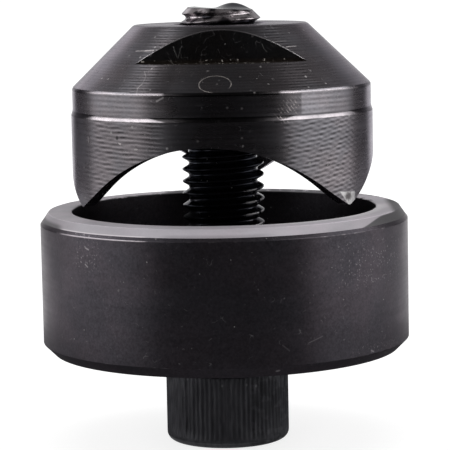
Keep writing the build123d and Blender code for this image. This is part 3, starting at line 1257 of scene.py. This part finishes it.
@dataclass
class DriveScrew:
    """The socket head screw, with a rolled right-hand thread, a knurled head and a worn end."""

    thread_r: float = 5.925
    pitch: float = 1.75
    flank_angle: float = 60.0
    crest_z: float = 37.12
    crest_half_width: float = 0.12
    root_radius: float = 0.36
    shank_low_z: float = 13.2
    end_r: float = 4.65
    end_slope: float = 1.0
    end_z: float = 62.85
    top_z: float = 63.57
    fold_rows: int = 34
    thread_columns: int = 112
    head_r: float = 8.95
    head_height: float = 13.6
    head_edge: float = 1.2
    foot_rows: int = 8
    wall_rows: int = 17
    knurl_low_z: float = 0.9
    knurl_top_z: float = 10.3
    knurl_count: int = 78
    groove_columns: int = 6
    knurl_depth: float = 0.20
    collar_r: float = 8.65
    socket_half_flats: float = 5.0
    socket_depth: float = 6.0
    socket_lead_in: float = 0.4
    socket_floor_angle: float = 30.0
    specks: tuple[Point, ...] = ((-0.75, -8.62, 9.3), (2.67, -8.23, 9.3), (4.06, -7.64, 9.0))
    seed: int = 5

    def ridge(self) -> tuple[Array, Array]:
        """One pitch of the thread's section: heights above a crest and depths below it.

        The flank falls at its angle from a rounded crest and meets the root's arc where the arc
        is as steep; the root's depth follows from the two.

        Returns:
            The heights of the rows, from 0 to below one pitch, and their depths.
        """
        half, crest = self.pitch / 2, self.crest_half_width
        steep = math.tan(math.radians(self.flank_angle))
        deep = steep * (half - crest) - self.root_radius
        turn = np.radians(self.flank_angle * np.array([3.0, 2.0, 1.0]) / 3.0)
        arc_x = half - self.root_radius * np.sin(turn)
        arc_d = deep - self.root_radius * (1.0 - np.cos(turn))
        x = np.concatenate([[0.0, 0.6 * crest, crest, crest + 0.05, crest + 0.24], arc_x])
        d = np.concatenate([[0.0, 0.006, 0.032, steep * 0.05 + 0.004, steep * 0.24], arc_d])
        heights = np.concatenate([x, [half], self.pitch - x[:0:-1]])
        return heights, np.concatenate([d, [deep], d[:0:-1]])

    def end_face(self, x: Array, y: Array) -> Array:
        """The worn end's height: a leaning plane with a burr at the back and a notch beside it.

        The burr, the lobe and the notch are bell shapes, and crossed waves roughen the whole.

        Args:
            x: Places along X.
            y: Places along Y.

        Returns:
            The heights, never above the end of the solid.
        """
        burr = 0.85 * np.exp(-((x - 2.2) ** 2 / 6.5 + (y - 4.6) ** 2 / 9.0))
        lobe = 0.15 * np.exp(-((x + 3.4) ** 2 / 3.0 + (y - 3.5) ** 2 / 9.0))
        notch = 0.40 * np.exp(-((x + 1.6) ** 2 / 1.8 + (y - 4.6) ** 2 / 4.0))
        rough = 0.02 * np.sin(1.5 * x + 0.6 * y) * np.sin(1.3 * y - 0.8 * x)
        plane = self.end_z - 0.05 * x - 0.01 * y
        return np.minimum(plane + burr + lobe - notch + rough, self.top_z)

    def shank(self) -> Surface:
        """The thread as a grid whose rows follow the helix, so a crest is one row all the way.

        Row i stands at crest_z plus its share of the pitches plus pitch * turn, where turn is the
        part of a full circle from +X. At the seam the rows meet a pitch higher. Rows past the end
        fold in over the end face to its middle, and rows below the head fold in likewise.

        Returns:
            The closed sheet.
        """
        rows, depths = self.ridge()
        turns_below = math.ceil((self.crest_z - self.shank_low_z) / self.pitch + 1.6)
        turns = turns_below + math.ceil((self.end_z + 0.6 - self.crest_z) / self.pitch) + 4
        index = np.arange(turns * len(rows))[None, :]
        offset = (np.arange(turns)[:, None] * self.pitch + rows[None, :]).reshape(1, -1)
        turn = np.linspace(0.0, 1.0, self.thread_columns, endpoint=False)[:, None]
        height = self.crest_z - turns_below * self.pitch + offset + self.pitch * turn
        radius = self.thread_r - np.tile(depths, turns)[None, :] + 0.0 * turn
        cos, sin = np.cos(math.tau * turn), np.sin(math.tau * turn)
        rim = self.end_face(self.end_r * cos, self.end_r * sin)
        phase = ((rim - self.crest_z) / self.pitch - turn) % 1.0 * self.pitch
        rim_depth = np.interp(phase, np.append(rows, self.pitch), np.append(depths, 0.0))
        rim_r = np.minimum(self.thread_r - rim_depth, self.end_r)
        radius = np.minimum(radius, self.end_r + self.end_slope * (rim - height))
        first = (height < rim).sum(axis=1, keepdims=True)
        past_end = index >= first
        over = np.clip((index - first) / self.fold_rows, 0.0, 1.0)
        radius = np.where(past_end, rim_r * (1.0 - over), radius)
        low = (height < self.shank_low_z).sum(axis=1, keepdims=True)
        under = np.clip((low - index) / 8.0, 0.0, 1.0)
        radius = np.where(index < low, radius * (1.0 - under), radius)
        x, y = radius * cos, radius * sin
        height = np.where(past_end, self.end_face(x, y), np.maximum(height, self.shank_low_z))
        grid = np.stack([x, y, height], axis=-1)
        return ring_sheet(grid, np.zeros(index.size), closed=False, shift=len(rows))

    def head(self) -> Surface:
        """The head: hexagon socket, rounded foot, knurled wall and smooth collar, in one grid.

        The socket's radius at an angle is the flats' distance over the cosine of the angle from
        the middle of its flat. The knurl takes away (1 - cos) / 2 of its depth, counted round the
        head, fades out at both ends, and is uneven from groove to groove and along each one.

        Returns:
            The closed sheet.
        """
        random = np.random.default_rng(self.seed)
        columns = self.knurl_count * self.groove_columns
        angle = np.linspace(0.0, math.tau, columns, endpoint=False)[:, None]
        half = math.pi / 6
        hexagon = self.socket_half_flats / np.cos((angle + half) % (2 * half) - half)
        mouth = self.socket_half_flats / math.cos(half) + self.socket_lead_in
        drill = self.socket_half_flats * math.tan(math.radians(self.socket_floor_angle))
        foot = np.linspace(0.0, math.pi / 2, self.foot_rows)
        foot_r = self.head_r - self.head_edge + self.head_edge * np.sin(foot)
        foot_z = self.head_edge - self.head_edge * np.cos(foot)
        wall_z = np.linspace(self.head_edge + 0.25, self.knurl_top_z, self.wall_rows)
        collar_z, bevel = self.knurl_top_z + self.head_r - self.collar_r, 0.1
        radius = side_by_side(
            columns, 0.0, self.socket_half_flats, hexagon, hexagon, mouth, foot_r,
            np.full(wall_z.size, self.head_r), self.collar_r, self.collar_r, self.collar_r - bevel,
            0.0,
        )
        height = side_by_side(
            columns, self.socket_depth + drill, self.socket_depth, self.socket_depth,
            mouth - hexagon, 0.0, foot_z, wall_z, collar_z, self.head_height - bevel,
            self.head_height, self.head_height,
        )
        groove = (np.arange(columns) // self.groove_columns)[:, None]
        strength = 0.7 + 0.45 * random.random(self.knurl_count)[groove]
        sway = math.tau * random.random(self.knurl_count)[groove]
        fade = smooth_step(self.knurl_low_z, self.knurl_low_z + 1.6, height)
        fade = fade * (1.0 - smooth_step(self.knurl_top_z - 0.25, self.knurl_top_z + 0.05, height))
        fade = fade * (radius > self.head_r - 0.5)
        uneven = strength * (0.85 + 0.2 * np.sin(0.9 * height + sway))
        cut = 0.5 - 0.5 * np.cos(self.knurl_count * angle)
        radius = radius - self.knurl_depth * cut * fade * uneven
        grid = np.stack([radius * np.cos(angle), radius * np.sin(angle), height], axis=-1)
        return ring_sheet(grid, np.zeros(grid.shape[1]), closed=False)

    def build(self, effects: Effects) -> bpy.types.Object:
        """The head and the shank as one piece, dressed in the screw's finish.

        Args:
            effects: The shared effects.

        Returns:
            The screw.
        """
        piece = as_piece("socket_screw", self.head().joined(self.shank()), crease=50.0)
        piece.data.materials.append(SCREW_STEEL.build(effects, self.screw_marks))
        return piece

    def screw_marks(self, coat: Coat) -> None:
        """Lays on the rubbed end, paler crests at the right of the cup, which are painted glints,
        painted shade on the thread at the cup's left, and a dull head with a painted darker foot
        and a few specks.

        Args:
            coat: The coat that takes them.
        """
        x, y, z, radius = coat.x, coat.y, coat.z, coat.radius
        patchy = coat.noise((0.55, 0.55, 0.8))
        bare = coat.net.mix(patchy.step(0.42, 0.5), (0.40, 0.33, 0.33), (0.62, 0.56, 0.58))
        end = z.step(60.6, 61.6) * radius.step(4.2, 5.0) * patchy.step(0.36, 0.58)
        coat.mark(end, bare, 0.8, 0.06)
        # Painted glints: pale crests at the front right, low in the cup.
        place = z.step(37.6, 36.4) * x.step(2.6, 3.8) * y.step(0.0, -1.0)
        crest = radius.step(5.72, 5.86) * place * patchy.step(0.36, 0.50)
        coat.mark(crest, (0.62, 0.60, 0.62), 0.85, 0.28)
        # Painted shade: the thread inside the cup at the left, darkened and roughened.
        dull = z.band(14.0, 15.0, 34.2, 34.6) * x.step(-3.0, -4.5)
        coat.tone(dull * -0.85 + 1.0)
        coat.roughen(dull, 0.6)
        # Painted shade: the head's foot near the floor is darker; the noise is the head's uneven
        # tone.
        under = (z.step(1.15, 0.55) * -0.75 + 1.0) * (coat.noise((1.9, 1.9, 0.4)) * 1.3 + 0.35)
        coat.mark(z.step(14.0, 13.5), coat.net.scaled((0.115, 0.115, 0.125), under), rough=0.32)
        specks = 0.0
        for speck in self.specks:
            specks = coat.away(speck).step(0.36, 0.12) | specks
        coat.mark(specks, (0.50, 0.50, 0.52), 0.5)


# Studio


def direction(azimuth: float, elevation: float) -> Vector:
    """The way from the tool at an azimuth and an elevation in degrees.

    Args:
        azimuth: The direction, from the front towards +X.
        elevation: The angle above the floor.

    Returns:
        The way, at length one.
    """
    turn, rise = math.radians(azimuth), math.radians(elevation)
    level = math.cos(rise)
    return Vector((math.sin(turn) * level, -math.cos(turn) * level, math.sin(rise)))


def stage_material(name: str) -> tuple[bpy.types.Material, Net]:
    """A new material that isn't sampled as a lamp.

    Args:
        name: The material's name.

    Returns:
        The material, and a hand on its tree.
    """
    material = bpy.data.materials.new(name)
    material.use_nodes = True
    material.cycles.emission_sampling = "NONE"
    return material, Net(material.node_tree)


@dataclass(frozen=True)
class ViewCamera:
    """The camera: a long lens a third of a metre off, a little above the tool.

    Args:
        aim: The point in metres that it looks at.
        distance: Its distance from that point in metres.
        elevation: The angle in degrees that it looks down.
        roll: The angle in degrees that the picture leans, right side up.
        lens: The focal length in millimetres.
        sensor: The sensor's width in millimetres.
    """

    aim: Point = (0.00012, 0.0, 0.03141)
    distance: float = 0.3255
    elevation: float = 6.99
    roll: float = 1.15
    lens: float = 178.64
    sensor: float = 36.0

    def place(self) -> None:
        """Makes the camera the scene's own."""
        back, above = direction(0.0, self.elevation), direction(180.0, 90.0 - self.elevation)
        level, lean = Vector((1.0, 0.0, 0.0)), math.radians(self.roll)
        right = level * math.cos(lean) - above * math.sin(lean)
        up = level * math.sin(lean) + above * math.cos(lean)
        spot = Vector(self.aim) + back * self.distance
        data = bpy.data.cameras.new("view_camera")
        data.lens, data.sensor_width, data.clip_start = self.lens, self.sensor, 0.01
        camera = new_object("view_camera", data)
        camera.matrix_world = Matrix([*zip(right, up, back, spot), (0, 0, 0, 1)])
        bpy.context.scene.camera = camera


@dataclass(frozen=True)
class SoftBox:
    """One soft light beside the tool.

    Args:
        name: The light's name.
        azimuth: Its direction from the tool in degrees, from the front towards +X.
        elevation: Its height as an angle in degrees.
        width: Its width in metres.
        height: Its height in metres.
        level: Its brightness, where 1 is white.
        lean: How far its right side is turned down, seen from the tool, in degrees.
        mirrored: Whether the metal mirrors it; one that it doesn't only lifts the matt colours.
        distance: Its distance in metres from what it faces.
        aim_height: The height in metres that it faces, on the axis.
    """

    name: str
    azimuth: float
    elevation: float
    width: float
    height: float
    level: float
    lean: float = 0.0
    mirrored: bool = True
    distance: float = 0.6
    aim_height: float = 0.035

    def place(self) -> None:
        """Sets the light up, turned to face the tool; power = level * pi * area."""
        way = direction(self.azimuth, self.elevation)
        data = bpy.data.lights.new(self.name, "AREA")
        data.shape, data.size, data.size_y = "RECTANGLE", self.width, self.height
        data.energy = self.level * math.pi * self.width * self.height
        light = new_object(self.name, data)
        light.location = Vector((0.0, 0.0, self.aim_height)) + way * self.distance
        lean = Quaternion((0.0, 0.0, 1.0), math.radians(self.lean))
        light.rotation_euler = (way.to_track_quat("Z", "Y") @ lean).to_euler()
        light.visible_glossy = self.mirrored


@dataclass(frozen=True)
class Flag:
    """A black card that shades reflections, as a photographer sets beside a shiny thing.

    It lies on the floor or stands on it, as a part of a ring. The camera and the lamps don't
    see it; only what the metal mirrors does.

    Args:
        name: The card's name.
        azimuths: Its first and last direction in degrees.
        inner: Its inner radius in metres.
        outer: Its outer radius in metres.
        heights: Its lowest and highest edge in metres; equal for a card that lies flat.
        level: Its own brightness.
        skew: How far its last side turns from the inner to the outer radius, in degrees.
        soft: How far the cloth thins out towards both sides, in degrees.
        columns: The points along each of its two edges.
    """

    name: str
    azimuths: tuple[float, float]
    inner: float
    outer: float
    heights: tuple[float, float] = (0.0004, 0.0004)
    level: float = 0.012
    skew: float = 0.0
    soft: float = 0.0
    columns: int = 61

    def place(self) -> None:
        """Sets the card up as a strip of quads between its two edges."""
        share = np.linspace(0.0, 1.0, self.columns)
        width = self.azimuths[1] - self.azimuths[0]
        edges = []
        for radius, skew, height in zip((self.inner, self.outer), (0.0, self.skew), self.heights):
            azimuths = np.radians(self.azimuths[0] + (width + skew) * share)
            edges.append(turned_grid(azimuths, np.full(1, radius), np.full(1, height))[:, 0])
        low = np.arange(self.columns - 1)
        faces = np.stack([low, low + self.columns, low + self.columns + 1, low + 1], axis=-1)
        mesh = bpy.data.meshes.new(self.name)
        mesh.from_pydata(np.concatenate(edges).tolist(), [], faces.tolist())
        cover = np.ones_like(share)
        if self.soft > 0:
            cover = smooth_step(0.0, self.soft, np.minimum(share, 1.0 - share) * width)
        values = np.tile(cover, 2).astype(np.float32)
        mesh.attributes.new("cover", "FLOAT", "POINT").data.foreach_set("value", values)
        mesh.materials.append(self.cloth())
        card = new_object(self.name, mesh)
        card.visible_camera = card.visible_diffuse = card.visible_shadow = False
        card.visible_transmission = card.visible_volume_scatter = False

    def cloth(self) -> bpy.types.Material:
        """Black cloth that sends out its own small level and mirrors nothing.

        Returns:
            The material.
        """
        material, net = stage_material(self.name + "_cloth")
        cover = net.read("ShaderNodeAttribute", "Fac", attribute_name="cover")
        own = {"Color": (1.0, 0.98, 1.04), "Strength": self.level}
        glow = net.read("ShaderNodeEmission", 0, own)
        clear = net.read("ShaderNodeBsdfTransparent", 0)
        cloth = net.read("ShaderNodeMixShader", 0, (cover, clear, glow))
        net.add("ShaderNodeOutputMaterial", {"Surface": cloth})
        return material


@dataclass
class Studio:
    """A white floor under a white sky, two soft boxes and the black cards round the tool.

    Args:
        floor_radius: The floor's radius in metres.
        floor_columns: The points on each of its rings.
        floor_glow: The floor's own brightness beside the tool, for the rays that look at it.
        far_glow: The same, away from the tool.
        floor_diffuse: The share of the light that the floor throws back where it is looked at.
        plain_diffuse: The same for the other rays.
        sky_light: The sky's brightness as a light.
        sky_stops: How bright gloss sees the sky at a height, where 1 is straight up.
        boxes: The soft boxes.
        spots: Soft bright places in the mirrored sky: azimuth, elevation, reach and brightness.
        flags: The black cards.
    """

    floor_radius: float = 10.0
    floor_columns: int = 96
    floor_glow: float = 0.80
    far_glow: float = 1.0
    floor_diffuse: float = 0.36
    plain_diffuse: float = 0.75
    sky_light: float = 0.4
    sky_stops: tuple[tuple[float, float], ...] = (
        (0.0, 1.0), (0.13, 0.80), (0.32, 0.55), (0.5, 0.42),
        (0.72, 0.22), (0.88, 0.15), (1.0, 0.09),
    )
    boxes: tuple[SoftBox, ...] = (
        SoftBox("soft_box_left", -84.0, 34.0, 0.84, 0.26, 2.5, lean=8.0),
        SoftBox("soft_box_right", 80.0, 34.0, 0.78, 0.26, 2.7, lean=-8.0),
        SoftBox("top_fill", 0.0, 89.0, 0.60, 0.60, 1.3, mirrored=False),
    )
    spots: tuple[tuple[float, float, float, float], ...] = (
        (-112.0, 57.0, 0.22, 0.95),
        (-154.0, 18.0, 0.34, 1.10),
        (115.0, 56.0, 0.20, 0.22),
        (150.0, 20.0, 0.24, 0.35),
    )
    flags: tuple[Flag, ...] = (
        Flag("flag_under_tool", (-180.0, 180.0), 0.0092, 0.11, level=0.10),
        Flag("flag_near_floor", (-50.0, 70.0), 0.109, 0.28, level=0.03, skew=-18.0, soft=14.0),
        Flag("flag_far_floor", (-65.0, 59.0), 0.28, 0.62, skew=-6.0, soft=12.0),
        Flag("flag_front_wall", (-65.0, 56.0), 0.62, 0.62, (0.0, 0.70), soft=10.0),
        Flag("flag_left_gap", (-158.0, -110.0), 0.28, 0.80, level=0.06, soft=8.0),
        Flag("flag_left_side", (-158.0, -126.0), 0.80, 0.80, (0.0, 0.34), level=0.12, soft=8.0),
        Flag("flag_left_high", (-138.0, -113.0), 0.82, 0.82, (0.0, 0.77), level=0.12, soft=9.0),
        Flag("flag_right_gap", (107.0, 150.0), 0.28, 0.80, level=0.06, soft=8.0),
        Flag("flag_right_side", (132.0, 150.0), 0.80, 0.80, (0.0, 0.40), level=0.12, soft=8.0),
        Flag("flag_right_high", (112.0, 144.0), 0.82, 0.82, (0.0, 0.77), level=0.12, soft=8.0),
    )

    def floor(self) -> None:
        """A round white floor: a white glow for the rays from the camera, from gloss and through
        glass, and a diffuse share that keeps the tool's shadow."""
        azimuths = np.linspace(0.0, math.tau, self.floor_columns, endpoint=False)
        radius = np.array([self.floor_radius, 1.0, 0.2, 0.05, 0.0])
        grid = turned_grid(azimuths, radius, np.zeros(1))
        sheet = ring_sheet(grid, np.zeros(radius.size), closed=False)
        mesh = bpy.data.meshes.new("studio_floor")
        mesh.from_pydata(sheet.points.tolist(), [], sheet.faces.tolist())
        mend(mesh, closed=False)
        material, net = stage_material("white_floor")
        camera, gloss, glass = net.rays()
        seen = net.maths("MINIMUM", camera + gloss + glass, 1.0)
        away = net.vector("LENGTH", net.read("ShaderNodeTexCoord", "Object"))
        level = away.step(0.08, 0.5) * (self.far_glow - self.floor_glow) + self.floor_glow
        colour = net.mix(seen, (self.plain_diffuse,) * 3, (self.floor_diffuse,) * 3)
        glow = net.read("ShaderNodeEmission", 0, {"Strength": seen * level})
        paint = net.read("ShaderNodeBsdfDiffuse", 0, {"Color": colour})
        both = net.read("ShaderNodeAddShader", 0, (glow, paint))
        net.add("ShaderNodeOutputMaterial", {"Surface": both})
        mesh.materials.append(material)
        new_object("studio_floor", mesh)

    def sky(self) -> None:
        """A white sky for the camera; gloss sees it white at the horizon and darker overhead."""
        world = bpy.data.worlds.new("studio_sky")
        bpy.context.scene.world = world
        world.use_nodes = True
        world.cycles.sampling_method = "NONE"
        net = Net(world.node_tree)
        way = net.read("ShaderNodeTexCoord", "Generated")
        side, _, height = net.parts(way)
        dusk = net.add("ShaderNodeValToRGB", {"Fac": height})
        ramp = dusk.color_ramp
        while len(ramp.elements) < len(self.sky_stops):
            ramp.elements.new(0.5)
        for element, (place, level) in zip(ramp.elements, self.sky_stops):
            element.position, element.color = place, (level, level, level * 1.02, 1.0)
        glossy = Wire(net, dusk.outputs["Color"]) * (side * height.step(0.1, 0.5) * -0.35 + 1.0)
        for azimuth, elevation, reach, brightness in self.spots:
            away = net.vector("DISTANCE", way, direction(azimuth, elevation))
            glossy = away.step(reach, 0.0) * brightness + glossy
        camera, gloss, glass = net.rays()
        level = gloss * (glossy - self.sky_light) + self.sky_light | camera | glass
        back = net.read("ShaderNodeBackground", 0, {"Strength": level})
        net.add("ShaderNodeOutputWorld", {"Surface": back})

    def build(self) -> None:
        """The floor, the sky, the lights and the cards."""
        self.floor()
        self.sky()
        for thing in self.boxes + self.flags:
            thing.place()


# The tool


@dataclass
class HolePunch:
    """The whole tool: each part with the body it rides on and the node that it stands for."""

    effects: Effects = field(default_factory=Effects)

    def build(self) -> None:
        """Builds, dresses and fixes every part."""
        parts = (
            (DieCup(), "die", "die_steel"),
            (CrownPunch(), "punch", "punch_steel"),
            (DriveScrew(), "drive_screw", "screw_steel"),
        )
        for part, body, finish in parts:
            piece = part.build(self.effects)
            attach(piece, body)
            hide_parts(body)
            corners = np.array([tuple(corner) for corner in piece.bound_box])
            size, faces = np.ptp(corners, axis=0) / MILLIMETRE, len(piece.data.polygons)
            log.info("%s: %d faces, %.2f x %.2f x %.2f mm", piece.name, faces, *size)


def main() -> None:
    """Sets the view rules, then builds the camera, the studio and the tool in order."""
    logging.basicConfig(level=logging.INFO, format="%(message)s")
    bpy.context.scene.view_settings.view_transform = "Standard"
    ViewCamera().place()
    Studio().build()
    HolePunch().build()


if __name__ == "__main__":
    main()
